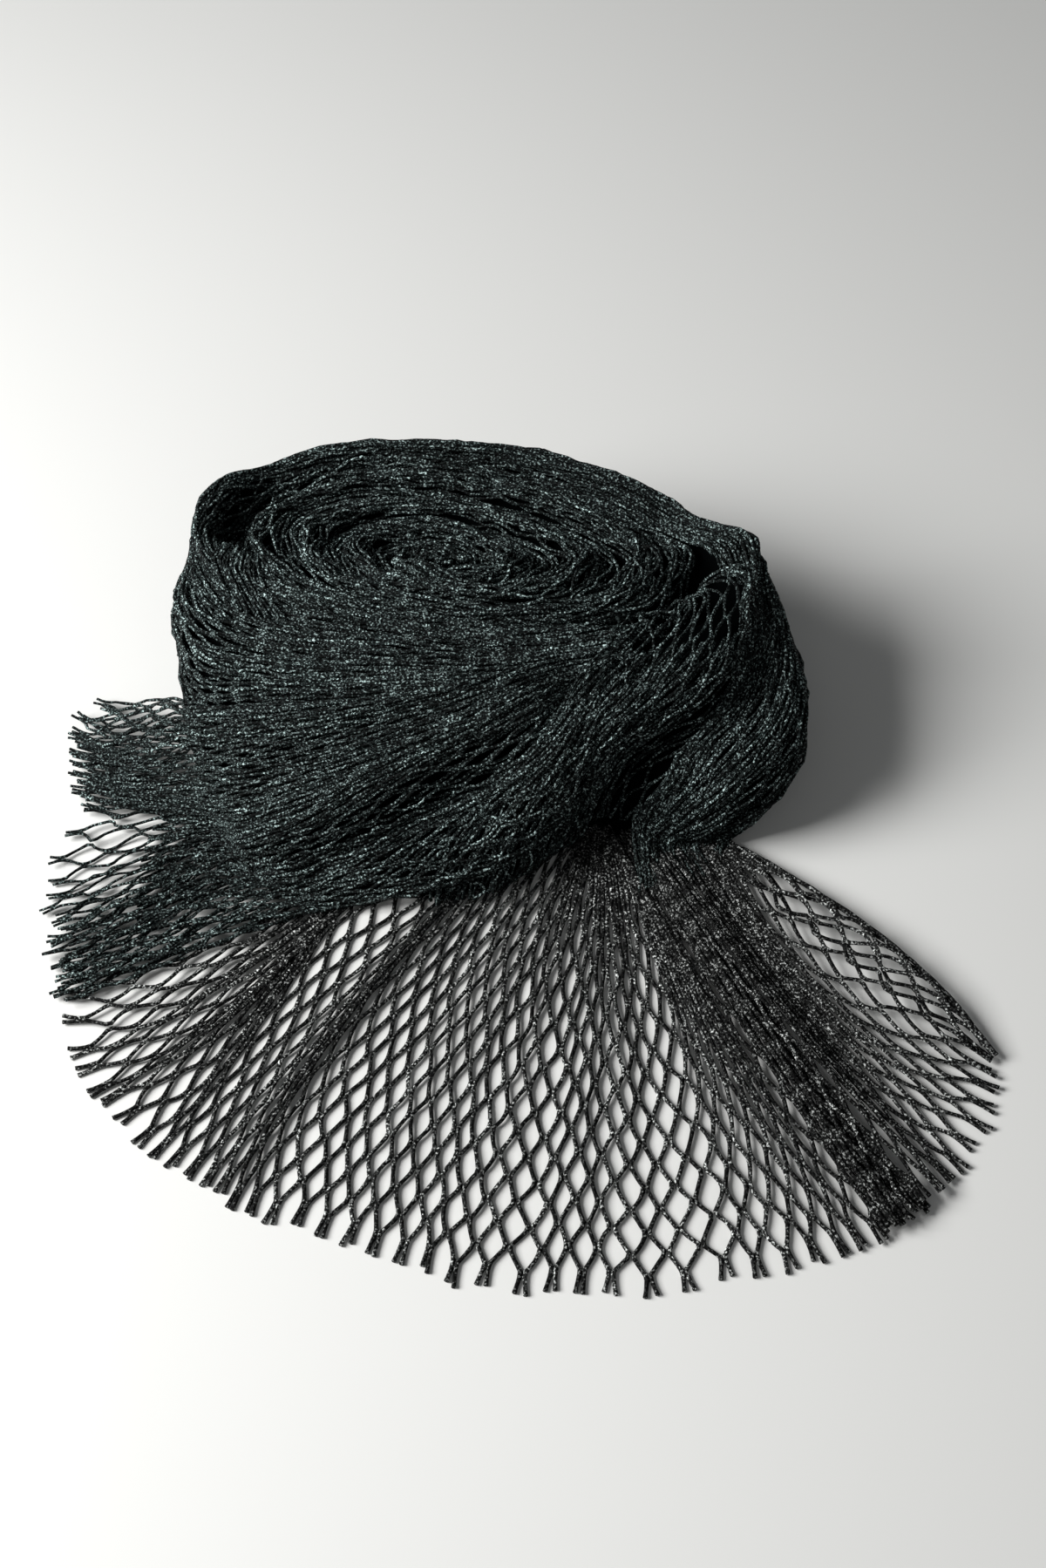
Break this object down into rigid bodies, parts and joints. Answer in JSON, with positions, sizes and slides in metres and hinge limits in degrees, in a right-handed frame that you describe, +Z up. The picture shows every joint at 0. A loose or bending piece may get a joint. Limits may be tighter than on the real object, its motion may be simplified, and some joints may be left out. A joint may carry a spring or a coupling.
{
  "type": "bird netting",
  "caption": "Black knotless bird net, drawn into a band, wound into a loose oval roll, with its cut end fanned out on the floor",
  "frame": {"origin": "on the floor, under the middle of the whole spread netting", "axes": "+Z up, +X along the long side of the oval roll and of the spread, the fan opens towards -Y"},
  "size_m": [0.4101, 0.3966, 0.09],
  "materials": {
    "net": "black knitted plastic yarn with small glints"
  },
  "bodies": {
    "root": {"wound_roll": "net", "spread_end": "net"}
  },
  "joints": []
}
